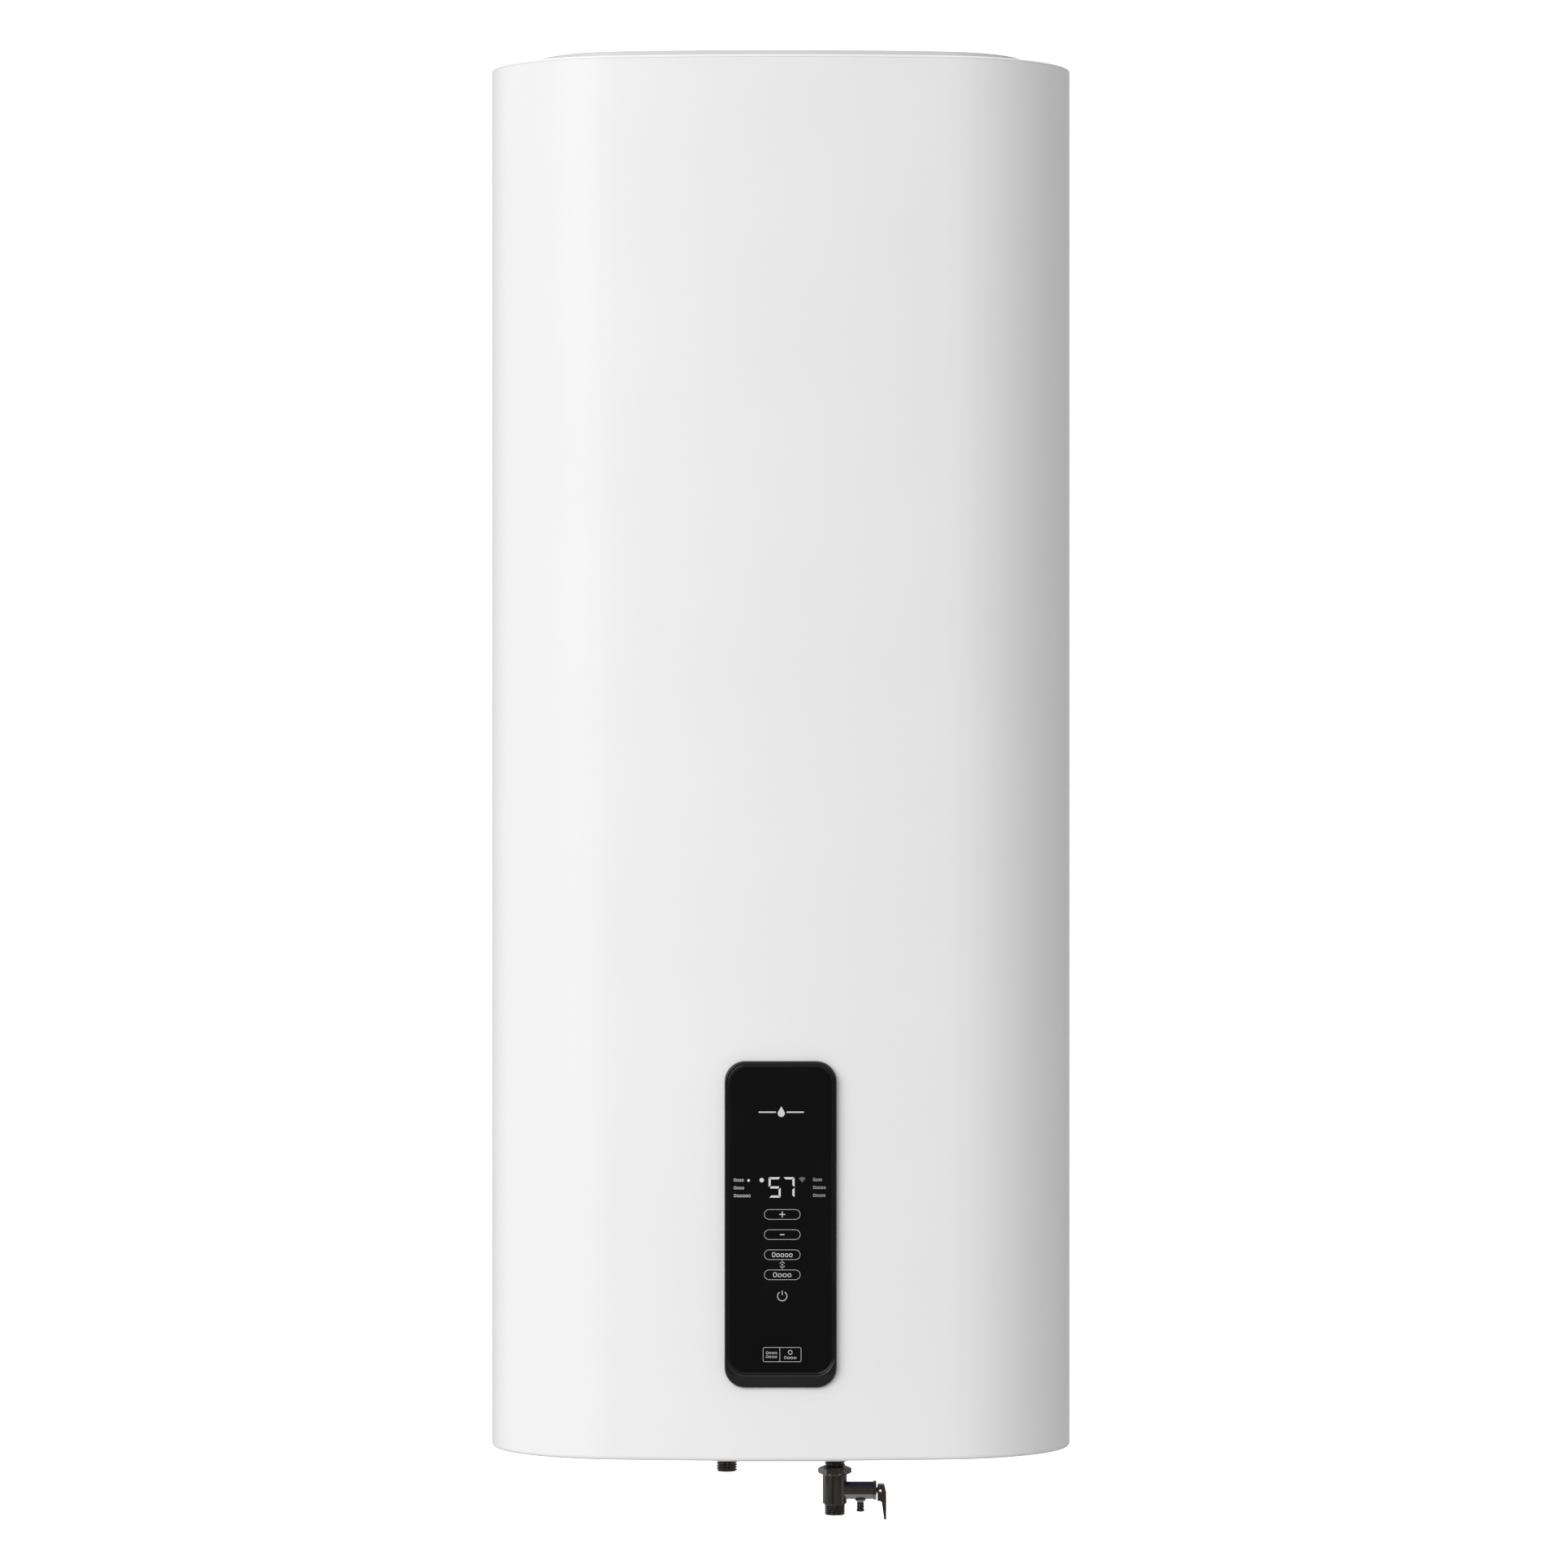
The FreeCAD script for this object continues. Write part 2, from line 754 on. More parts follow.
def top_cap():
    cap = body("top_cap", y=MID_Y, z="bottom_rim + casing_height")
    pad(cap, oval(sketch(cap, "XY"), "flush"), "top_lip", down=True)
    soften(cap, "top_lip_round", at_level(0))
    pad(cap, oval(sketch(cap, "XY"), "plateau_inset"), "plateau_rise")
    soften(cap, "plateau_round", at_level(SIZES["plateau_rise"]))
    hollow = oval(sketch(cap, "XY", "-top_lip"), "plateau_hollow")
    pocket(cap, hollow, "top_lip + plateau_rise - cap_wall", up=True)
    skirt = oval(oval(sketch(cap, "XY", "-top_lip"), "skirt_outside"), "skirt_inside")
    pad(cap, skirt, "skirt_height", down=True)
    cap_screw_holes(cap, "-top_lip - skirt_height/2")


def bottom_cap():
    cap = body("bottom_cap", y=MID_Y, z="bottom_rim")
    pad(cap, oval(sketch(cap, "XY"), "flush"), "bottom_lip")
    soften(cap, "bottom_lip_round", at_level(0))
    skirt = oval(oval(sketch(cap, "XY", "bottom_lip"), "skirt_outside"), "skirt_inside")
    pad(cap, skirt, "skirt_height")
    opening = rectangle(sketch(cap, "XY"), "0", "0", "cover_opening_width", "cover_opening_depth")
    for across in ("cover_screw_across", "-cover_screw_across"):
        for lengthwise in ("cover_screw_along", "-cover_screw_along"):
            circle(opening, across, lengthwise, "screw_radius")
    pocket(cap, opening)
    cap_screw_holes(cap, "bottom_lip + skirt_height/2")


def cap_screw_holes(cap, level):
    holes = sketch(cap, "XZ", "-(casing_depth/2 - skirt_inside)")
    for sign in ("", "-"):
        circle(holes, f"{sign}tank_offset", level, "screw_radius")
    pocket(cap, holes, "skirt_inside + 1", up=False)


def connection_cover():
    cover = body("connection_cover", y=MID_Y, z="bottom_rim")
    outline = rectangle(sketch(cover, "XY"), "0", "0", "cover_width", "cover_depth")
    pad(cover, outline, "cover_drop", down=True)
    soften(cover, "cover_corner", along(2))
    soften(cover, "cover_round", at_level(-SIZES["cover_drop"]))
    inside = "cover_drop - cap_wall"
    hollow = rectangle(sketch(cover, "XY"), "0", "0", "cover_opening_width", "cover_opening_depth")
    pocket(cover, hollow, inside)
    holes = circle(sketch(cover, "XY"), "0", "gland_along", "gland_radius")
    for sign in ("", "-"):
        circle(holes, f"{sign}nipple_across", "0", "pipe_clearance")
        for along_sign in ("", "-"):
            circle(holes, f"{sign}cover_screw_across", f"{along_sign}cover_screw_along", "screw_radius")
    pocket(cover, holes)


def casing_screws():
    members = []
    for side in (LEFT, RIGHT):
        for name, level in (
            ("low", "bottom_rim + bottom_lip + skirt_height/2"),
            ("high", "bottom_rim + casing_height - top_lip - skirt_height/2"),
        ):
            members.append(screw(f"cap_screw_{name}{side + 1}", f"{side}*tank_offset", "-wall_gap", level,
                                 *TO_FRONT))
    group("cap_screws", members)
    members = []
    for side in (LEFT, RIGHT):
        for end in (LEFT, RIGHT):
            across = f"{side}*cover_screw_across"
            lengthwise = f"{MID_Y} + {end}*cover_screw_along"
            name = f"cover_screw_{side + 1}{end + 1}"
            members.append(screw(name, across, lengthwise, "bottom_rim - cover_drop", *UPRIGHT))
    group("cover_screws", members)


def marker_rings():
    for label, side in (("outlet_ring", LEFT), ("inlet_ring", RIGHT)):
        corners = tube_corners("pipe_clearance", "ring_radius", "-cover_drop - ring_thickness", "-cover_drop")
        turned(label, corners, f"{side}*nipple_across", MID_Y, "bottom_rim")


def insulation_foam():
    foam = body("insulation_foam", y=MID_Y, z="bottom_rim")
    block = oval(sketch(foam, "XY", "foam_low_level"), "foam_inset")
    pad(foam, block, "casing_height - foam_low_level - foam_top_gap - skirt_height")
    bay = sketch(foam, "XY", "foam_low_level")
    polygon(bay, [
        ("-bay_half_width", "-casing_depth"),
        ("bay_half_width", "-casing_depth"),
        ("bay_half_width", "-bay_rear"),
        ("-bay_half_width", "-bay_rear"),
    ])
    pocket(foam, bay, "bay_top_level - foam_low_level", up=True)
    lower_bay = sketch(foam, "XY", "foam_low_level")
    polygon(lower_bay, [
        ("-well_bay_half_width", "-well_bay_front"),
        ("well_bay_half_width", "-well_bay_front"),
        ("well_bay_half_width", "well_bay_rear"),
        ("-well_bay_half_width", "well_bay_rear"),
    ])
    pocket(foam, lower_bay, "well_bay_top_level - foam_low_level", up=True)
    # the space round each tank, its neck, its studs and its nipple
    for side in (LEFT, RIGHT):
        space = sketch(foam, "XZ")
        space.setExpression("AttachmentOffset.Base.x", dim(f"{side}*tank_offset"))
        first = dished_profile(space, "flush")
        close_on_axis(space, first)
        revolve(foam, space, cut=True)
    studs = sketch(foam, "XZ")
    for sign in ("", "-"):
        for level in ("stud_high", "stud_low", "stud_foot"):
            circle(studs, f"{sign}tank_offset", f"{level} - bottom_rim", "stud_hole")
    pocket(foam, studs, "casing_depth")
    pipes = sketch(foam, "XY", "tank_low")
    for sign in ("", "-"):
        circle(pipes, f"{sign}nipple_across", "0", "pipe_radius")
        circle(pipes, f"{sign}tank_offset", "0", "neck_outside")
    pocket(foam, pipes, "tank_low")
    # the pipe that links the tops of the two tanks
    link = sketch(foam, "XZ")
    rectangle(link, "0", "link_top_level - link_bend", "2*(tank_offset - link_offset + link_radius)",
              "2*(link_bend + link_radius)")
    pad_cut_both(foam, link, "2*link_radius")


def pad_cut_both(owner, profile, length):
    """A pocket of a set length, half of it each side of its sketch."""
    made = pocket(owner, profile, length)
    made.SideType = "Symmetric"
    doc.recompute()
    return grown(owner, made)


def close_on_axis(drawing, first):
    """Closes a dished profile along its axis."""
    low = drawing.Geometry[first].StartPoint
    high = drawing.Geometry[first + 4].EndPoint
    number = drawing.addGeometry(Part.LineSegment(high, low))
    drawing.addConstraint(Sketcher.Constraint("Coincident", first + 4, 2, number, 1))
    drawing.addConstraint(Sketcher.Constraint("Coincident", number, 2, first, 1))


# ---------------------------------------------------------------- hanging


def upper_wall_rail():
    rail = body("upper_wall_rail")
    back = "-rail_sheet"
    lip_back, lip_front = "-lip_gap", "-lip_gap - rail_sheet"
    profile = polygon(sketch(rail, "YZ"), [
        ("0", "-rail_half_height"),
        ("0", "rail_half_height"),
        (lip_back, "rail_half_height"),
        (lip_back, "lip_top"),
        (lip_front, "lip_top"),
        (lip_front, "rail_half_height - rail_sheet"),
        (back, "rail_half_height - rail_sheet"),
        (back, "-rail_half_height"),
    ])
    pad(rail, profile, "rail_length", both=True)
    slots = sketch(rail, "XZ")
    for side in (LEFT, RIGHT):
        slot(slots, side, "slot_length", "slot_half_width")
    pocket(rail, slots)


def hanger_hooks():
    members = []
    for side in (LEFT, RIGHT):
        hook = body(f"hanger_hook{side + 1}", f"{side}*tank_offset", kept=False)
        front, back = "-wall_gap", "hook_sheet - wall_gap"
        tongue_back, tongue_front = "(hook_tongue - lip_gap)/2", "-(hook_tongue + lip_gap)/2"
        profile = polygon(sketch(hook, "YZ"), [
            (front, "hook_low"),
            (back, "hook_low"),
            (back, "hook_top - hook_sheet"),
            (tongue_front, "hook_top - hook_sheet"),
            (tongue_front, "rail_half_height + 2"),
            (tongue_back, "rail_half_height + 2"),
            (tongue_back, "hook_top"),
            (front, "hook_top"),
        ])
        pad(hook, profile, "hook_width", both=True)
        holes = sketch(hook, "XZ")
        for level in ("stud_high", "stud_low"):
            circle(holes, "0", level, "stud_hole")
        pocket(hook, holes)
        members.append(hook)
    group("hanger_hooks", members)


def hanger_nuts():
    members = []
    for side in (LEFT, RIGHT):
        for name, level in (("high", "stud_high"), ("low", "stud_low")):
            members.append(nut(f"hanger_nut_{name}{side + 1}", f"{side}*tank_offset", "hook_sheet - wall_gap",
                               level, *TO_WALL))
    group("hanger_nuts", members)


def wall_spacers():
    members = []
    for side in (LEFT, RIGHT):
        spacer = body(f"wall_spacer{side + 1}", f"{side}*tank_offset", "0", "stud_foot", kept=False)
        pad(spacer, circle(sketch(spacer, "XZ"), "0", "0", "spacer_radius"), "wall_gap")
        bore = circle(sketch(spacer, "XZ", "wall_gap"), "0", "0", "stud_radius")
        pocket(spacer, bore, "wall_gap - hook_sheet")
        members.append(spacer)
    group("wall_spacers", members)


# ---------------------------------------------------------------- water side


def tank(label, side):
    """A welded tank with dished ends, a flange neck, mounting studs and holes for its pipes."""
    made = body(label, f"{side}*tank_offset", MID_Y, "bottom_rim")
    wall = sketch(made, "XZ")
    outer = dished_profile(wall, "flush")
    inner = dished_profile(wall, "tank_wall")
    for outer_end, inner_end, point in ((outer, inner, 1), (outer + 4, inner + 4, 2)):
        start = wall.getPoint(outer_end, point)
        end = wall.getPoint(inner_end, point)
        number = wall.addGeometry(Part.LineSegment(start, end))
        wall.addConstraint(Sketcher.Constraint("Coincident", number, 1, outer_end, point))
        wall.addConstraint(Sketcher.Constraint("Coincident", number, 2, inner_end, point))
    revolve(made, wall)
    neck = sketch(made, "XZ")
    crown = "tank_low + " + CROWN_RISE + " - sqrt(crown_radius^2 - {0}^2) + tank_wall/2"
    polygon(neck, [
        ("neck_inside", "neck_level"),
        ("neck_outside", "neck_level"),
        ("neck_outside", crown.format("neck_outside")),
        ("neck_inside", crown.format("neck_inside")),
    ])
    revolve(made, neck)
    bolts = circle(sketch(made, "XY", "neck_level"), "bolt_circle", "0", "stud_radius")
    polar(made, pocket(made, bolts, "bolt_hole_depth", up=True), bolts, 6)
    openings = circle(sketch(made, "XY", "tank_low"), "0", "0", "neck_inside")
    circle(openings, f"{-side}*nipple_offset", "0", "pipe_radius")
    pocket(made, openings, "tank_low")
    link = circle(sketch(made, "XY", "tank_high"), f"{-side}*link_offset", "0", "link_radius")
    pocket(made, link, "tank_radius", up=True)
    studs = sketch(made, "XZ", "tank_wall/2 - tank_radius")
    for level in ("stud_high", "stud_low", "stud_foot"):
        circle(studs, "0", f"{level} - bottom_rim", "stud_radius")
    reach = "casing_depth/2 - tank_radius + tank_wall/2 + hook_sheet + nut_height"
    pad(made, studs, reach, down=True)


def nipples():
    for label, side, drop in (("outlet_nipple", LEFT, "outlet_end_drop"),
                              ("inlet_nipple", RIGHT, "inlet_end_drop")):
        turned(label, [
            ("pipe_bore", f"-{drop}"),
            ("thread_radius - thread_chamfer", f"-{drop}"),
            ("thread_radius", f"thread_chamfer - {drop}"),
            ("thread_radius", "-nipple_thread_drop"),
            ("pipe_radius", "-nipple_thread_drop"),
            ("pipe_radius", "nipple_top_level"),
            ("pipe_bore", "nipple_top_level"),
        ], f"{side}*nipple_across", MID_Y, "bottom_rim")


def inner_pipes():
    diffuser = turned("inlet_diffuser", [
        ("pipe_radius", "diffuser_low_level"),
        ("diffuser_radius", "diffuser_low_level"),
        ("diffuser_radius", "diffuser_top_level"),
        ("0", "diffuser_top_level"),
        ("0", "diffuser_top_level - diffuser_roof"),
        ("pipe_radius", "diffuser_top_level - diffuser_roof"),
    ], "nipple_across", MID_Y, "bottom_rim")
    for plane in ("XZ", "YZ"):
        window = rectangle(sketch(diffuser, plane), "0", "nipple_top_level + diffuser_window/2 + 0.5",
                           "2*diffuser_window", "diffuser_window")
        pocket(diffuser, window)
    turned("outlet_draw_tube", tube_corners("draw_bore", "draw_radius", "draw_low_level", "draw_top_level"),
           "-nipple_across", MID_Y, "bottom_rim")
    turned("dip_tube", tube_corners("link_radius", "dip_radius", "dip_low_level", "dip_top_level"),
           "link_offset - tank_offset", MID_Y, "bottom_rim")


def transfer_pipe():
    """An inverted U of steel pipe from the cold tank's top into the hot tank's dip tube."""
    pipe = body("transfer_pipe", y=MID_Y, z="bottom_rim")
    size = SIZES
    leg = size["tank_offset"] - size["link_offset"]
    bend, top, foot = size["link_bend"], size["link_top_level"], size["link_foot_level"]
    point = FreeCAD.Vector
    route = sketch(pipe, "XZ")
    for piece in (
        Part.LineSegment(point(leg, foot, 0), point(leg, top - bend, 0)),
        arc(leg - bend, top - bend, bend, 0, PI/2),
        Part.LineSegment(point(leg - bend, top, 0), point(bend - leg, top, 0)),
        arc(bend - leg, top - bend, bend, PI/2, PI),
        Part.LineSegment(point(-leg, top - bend, 0), point(-leg, foot, 0)),
    ):
        route.addGeometry(piece)
    join_smoothly(route, 0, 5, closed=False)
    for number, end, sign in ((0, 1, ""), (4, 2, "-")):
        fix_point(route, number, end, f"{sign}(tank_offset - link_offset)", "link_foot_level")
        route.addConstraint(Sketcher.Constraint("Vertical", number))
    for number in (1, 3):
        fix(route, "Radius", number, bend, size="link_bend")
    fix_level(route, 2, 1, "link_top_level")
    ring = sketch(pipe, "XY", "link_foot_level")
    for radius in ("link_radius", "link_bore"):
        circle(ring, "tank_offset - link_offset", "0", radius)
    sweep(pipe, ring, route)


def sweep(owner, profile, route):
    made = owner.newObject("PartDesign::AdditivePipe", owner.Name + "_pipe")
    made.Profile = profile
    made.Spine = (route, [])
    doc.recompute()
    return grown(owner, made)


def heater_flange(side, prefix):
    """One tank's flange, and the heating element brazed into it."""
    where = (f"{side}*tank_offset", MID_Y, "bottom_rim")
    low = "neck_level - gasket_thickness - flange_thickness"
    plate = body(prefix + "_flange", *where)
    pad(plate, circle(sketch(plate, "XY", low), "0", "0", "neck_outside"), "flange_thickness")
    passages = circle(sketch(plate, "XY"), "well_across", "well_along", "well_radius")
    circle(passages, "anode_across", "anode_along", "stud_radius")
    for sign in ("", "-"):
        circle(passages, f"{sign}element_spread", "element_forward", "element_radius")
    pocket(plate, passages)
    bolts = circle(sketch(plate, "XY"), "bolt_circle", "0", "stud_radius")
    polar(plate, pocket(plate, bolts), bolts, 6)

    element = body(prefix + "_element", *where)
    route = sketch(element, "XZ", "-element_forward")
    size = SIZES
    spread, top, foot = size["element_spread"], size["element_top_level"], size["element_low_level"]
    point = FreeCAD.Vector
    route.addGeometry(Part.LineSegment(point(spread, foot, 0), point(spread, top, 0)))
    route.addGeometry(arc(0, top, spread, 0, PI))
    route.addGeometry(Part.LineSegment(point(-spread, top, 0), point(-spread, foot, 0)))
    join_smoothly(route, 0, 3, closed=False)
    fix_point(route, 0, 1, "element_spread", "element_low_level")
    fix_point(route, 2, 2, "-element_spread", "element_low_level")
    fix_point(route, 1, 3, "0", "element_top_level")
    sweep(element, circle(sketch(element, "XY", "element_low_level"), "element_spread", "element_forward",
                          "element_radius"), route)
    pins = sketch(element, "XY", "element_low_level")
    for sign in ("", "-"):
        circle(pins, f"{sign}element_spread", "element_forward", "terminal_radius")
    pad(element, pins, "terminal_length", down=True)


def flange_gaskets():
    members = []
    for side in (LEFT, RIGHT):
        ring = turned(f"flange_gasket{side + 1}",
                      tube_corners("neck_inside", "neck_outside", "neck_level - gasket_thickness",
                                   "neck_level"),
                      f"{side}*tank_offset", MID_Y, "bottom_rim", kept=False)
        bolts = circle(sketch(ring, "XY", "neck_level"), "bolt_circle", "0", "stud_radius")
        polar(ring, pocket(ring, bolts), bolts, 6)
        members.append(ring)
    group("flange_gaskets", members)


def flange_bolts():
    members = []
    seat = "bottom_rim + neck_level - gasket_thickness - flange_thickness"
    for side in (LEFT, RIGHT):
        for turn in range(6):
            name = f"flange_bolt_{side + 1}{turn}"
            hexagon = doc.addObject("Part::Prism", name + "_head")
            hexagon.Polygon = 6
            bind(hexagon, Circumradius="nut_across_corners/2", Height="nut_height")
            place(hexagon, z="-nut_height")
            shank = rod(name + "_shank", "0", "0", "0", "stud_radius", "bolt_reach", kept=False)
            bolt = fuse(name, [hexagon, shank])
            angle = 60*turn
            place(bolt, f"{side}*tank_offset + bolt_circle*cos({angle})",
                  f"{MID_Y} + bolt_circle*sin({angle})", seat)
            members.append(bolt)
    group("flange_bolts", members)


def anodes_and_wells():
    anodes = []
    wells = []
    for side in (LEFT, RIGHT):
        stud_length = "anode_low_level - anode_stud_level"
        anodes.append(turned(f"anode{side + 1}", [
            ("0", "anode_stud_level"),
            ("stud_radius", "anode_stud_level"),
            ("stud_radius", f"anode_stud_level + {stud_length}"),
            ("anode_radius", "anode_low_level"),
            ("anode_radius", "anode_low_level + anode_length"),
            ("0", "anode_low_level + anode_length"),
        ], f"{side}*tank_offset + anode_across", f"{MID_Y} + anode_along", "bottom_rim", kept=False))
        wells.append(turned(f"well{side + 1}", [
            ("well_bore", "well_low_level"),
            ("well_radius", "well_low_level"),
            ("well_radius", "well_top_level"),
            ("0", "well_top_level"),
            ("0", "well_top_level - 2"),
            ("well_bore", "well_top_level - 2"),
        ], f"{side}*tank_offset + well_across", f"{MID_Y} + well_along", "bottom_rim", kept=False))
    group("magnesium_anodes", anodes)
    group("sensor_wells", wells)


def thermal_cutout():
    """A two-pole cut-out whose probe sits in the cold tank's sensor well; its reset button is below."""
    where = ("tank_offset + well_across", f"{MID_Y} + well_along", "bottom_rim")
    case = body("thermal_cutout", *where)
    block = rectangle(sketch(case, "XY", "cutout_low_level"), "0", "0", "cutout_width", "cutout_depth")
    pad(case, block, "cutout_top_level - cutout_low_level")
    soften(case, "cover_round", along(2))
    neck = circle(sketch(case, "XY", "cutout_top_level"), "0", "0", "well_radius")
    pad(case, neck, "well_low_level - cutout_top_level")
    probe = circle(sketch(case, "XY", "well_low_level"), "0", "0", "probe_radius")
    pad(case, probe, "probe_length")
    bore = circle(sketch(case, "XY", "cutout_low_level"), "0", "0", "button_bore")
    pocket(case, bore, "button_bore_depth", up=True)
    button = body("reset_button", *where)
    face = circle(sketch(button, "XY", "cutout_low_level - button_proud"), "0", "0", "button_radius")
    pad(button, face, "button_length")
    soften(button, "terminal_radius/3", at_level(SIZES["cutout_low_level"] - SIZES["button_proud"]))
    sensor = body("temperature_sensor", "well_across - tank_offset", f"{MID_Y} + well_along", "bottom_rim")
    pad(sensor, circle(sketch(sensor, "XY", "well_low_level"), "0", "0", "probe_radius"), "probe_length")
    cap = circle(sketch(sensor, "XY", "well_low_level"), "0", "0", "well_radius")
    pad(sensor, cap, "terminal_length", down=True)


# ---------------------------------------------------------------- electrics


def power_electronics():
    face = f"({MID_Y}) - board_forward"
    box("power_board", "0", f"{face} - board_thickness/2", "bottom_rim + board_level", "board_width",
        "board_thickness", "board_height")
    front = f"{face} - board_thickness"
    box("terminal_block", "0", f"{front} - terminal_block_depth/2", "bottom_rim + terminal_block_level",
        "terminal_block_width", "terminal_block_depth", "terminal_block_height")
    relays = []
    for side in (LEFT, RIGHT):
        relays.append(box(f"relay{side + 1}", f"{side}*relay_spread", f"{front} - relay_depth/2",
                          "bottom_rim + relay_level", "relay_width", "relay_depth", "relay_height",
                          kept=False))
    group("power_relays", relays)
    tray = body("board_tray", "0", f"({MID_Y}) - bay_rear", "bottom_rim + board_level")
    pad(tray, rectangle(sketch(tray, "XZ"), "0", "0", "tray_width", "tray_height"), "tray_thickness")
    posts = sketch(tray, "XZ", "tray_thickness")
    for sign in ("", "-"):
        for up in ("", "-"):
            circle(posts, f"{sign}(board_width/2 - pad_radius)", f"{up}(board_height/2 - pad_radius)",
                   "lead_radius")
    pad(tray, posts, "board_forward - bay_rear - tray_thickness")


def round_route(points):
    """Straight runs joined by arcs as large as their shorter run allows, and each arc's radius."""
    edges = []
    radii = []
    start = points[0]
    for before, corner, after in zip(points, points[1:], points[2:]):
        back = (before - corner).normalize()
        onward = (after - corner).normalize()
        turn = PI - back.getAngle(onward)
        reach = 0.45*min(before.distanceToPoint(corner), corner.distanceToPoint(after))
        radii.append(reach/math.tan(turn/2))
        first = corner + back*reach
        last = corner + onward*reach
        towards = (back + onward).normalize()
        middle = corner + towards*(math.hypot(reach, radii[-1]) - radii[-1])
        edges.append(Part.LineSegment(start, first).toShape())
        edges.append(Part.Arc(first, middle, last).toShape())
        start = last
    edges.append(Part.LineSegment(start, points[-1]).toShape())
    return Part.Wire(edges), radii


def lead(label, points):
    """A held lead, swept along its rounded route."""
    radius = SIZES["lead_radius"]
    path, radii = round_route(points)
    direction = points[1] - points[0]
    section = Part.Wire([Part.makeCircle(radius, points[0], direction)])
    solid = path.makePipeShell([section], True, True)
    length = path.Length
    print(label, "bend radii", [round(bend, 1) for bend in radii], "length", round(length, 1),
          "volume ratio", round(solid.Volume/(PI*radius**2*length), 4))
    made = doc.addObject("Part::Feature", label)
    made.Shape = solid
    return made


def leads():
    size = SIZES
    mid_y = -(size["wall_gap"] + size["casing_depth"]/2)
    rim = size["bottom_rim"]
    board = mid_y - size["board_forward"] - size["board_thickness"]/2
    top = rim + size["board_level"] + size["board_height"]/2
    radius = size["lead_radius"]
    casing_face = mid_y - size["casing_depth"]/2
    cover_back = casing_face + size["back_depth"]
    entry = top + 70
    point = FreeCAD.Vector
    across = -25
    made = lead("panel_lead", [
        point(across, board, top),
        point(across, board, entry - 22),
        point(across, (board + cover_back)/2, entry),
        point(across, cover_back, entry),
    ])
    keep(made, "panel_lead")
    # from the terminal block's underside, along the connection bay, to each element's terminals
    foot = rim + size["terminal_block_level"] - size["terminal_block_height"]/2
    block = mid_y - size["board_forward"] - size["board_thickness"] - size["terminal_block_depth"]/2
    pins = rim + size["element_low_level"] - size["terminal_length"]
    members = []
    for side in (LEFT, RIGHT):
        near_pin = side*(size["tank_offset"] - size["element_spread"])
        members.append(lead(f"element_lead{side + 1}", [
            point(side*20, block, foot),
            point(side*20, block, foot - 22),
            point(side*46, block + 34, foot - 33),
            point(side*82, mid_y - 28, foot - 33),
            point(near_pin, mid_y + size["element_forward"] - 10, foot - 34),
            point(near_pin, mid_y + size["element_forward"], pins - radius/4),
        ]))
    group("element_leads", members)


def cable_gland():
    top = "terminal_block_height/2"
    turned("cable_gland", [
        ("gland_bore", "-cover_drop - gland_length"),
        ("gland_nut - 2", "-cover_drop - gland_length"),
        ("gland_nut", "-cover_drop - gland_length + 3"),
        ("gland_nut", "-cover_drop - 3"),
        ("gland_flange", "-cover_drop - 3"),
        ("gland_flange", "-cover_drop"),
        ("gland_radius", "-cover_drop"),
        ("gland_radius", top),
        ("gland_bore", top),
    ], "0", f"({MID_Y}) + gland_along", "bottom_rim")


# ---------------------------------------------------------------- control panel


def panel_body(label, kept=True):
    """A body whose origin is on the casing's front, at the panel's centre; its sketches face forward."""
    return body(label, "0", f"({MID_Y}) - casing_depth/2", "bottom_rim + panel_level", kept)


def behind_arc(owner, gap):
    """A plan of everything behind the casing's front arc, moved forward by gap."""
    return circle(sketch(owner, "XY"), "0", FRONT_ARC, f"{FRONT_ARC} + {gap}")


def panel_frame():
    frame = panel_body("panel_frame")
    outline = rectangle(sketch(frame, "XZ", "-panel_proud"), "0", "0", "panel_width", "panel_height")
    pad(frame, outline, "2*panel_proud")
    soften(frame, "panel_corner", along(1))
    front = -SIZES["panel_proud"]

    def front_rim(edge):
        return abs(edge.BoundBox.YMin - front) < MATCH and abs(edge.BoundBox.YMax - front) < MATCH

    soften(frame, "panel_bevel", front_rim)
    offset = "glass_level - panel_level"
    recess = rectangle(sketch(frame, "XZ", "panel_proud"), "0", offset, "glass_width + 2*glass_gap",
                       "glass_height + 2*glass_gap")
    pocket(frame, recess, "glass_thickness + glass_sunk")
    reach = SIZES["glass_width"]/2 + SIZES["glass_gap"]

    def recess_corner(edge):
        return along(1)(edge) and abs(abs(edge.CenterOfMass.x) - reach) < MATCH

    soften(frame, "glass_corner", recess_corner)
    pocket(frame, rectangle(sketch(frame, "XZ"), "0", "0", "panel_opening_width", "panel_opening_height"))
    pocket(frame, behind_arc(frame, "gasket_gap"))
    holes = sketch(frame, "XZ")
    for sign in ("", "-"):
        for up in ("", "-"):
            circle(holes, f"{sign}panel_screw_across", f"{up}panel_screw_along", "screw_radius")
    pocket(frame, holes, "panel_proud - glass_thickness - 1.5", up=True)


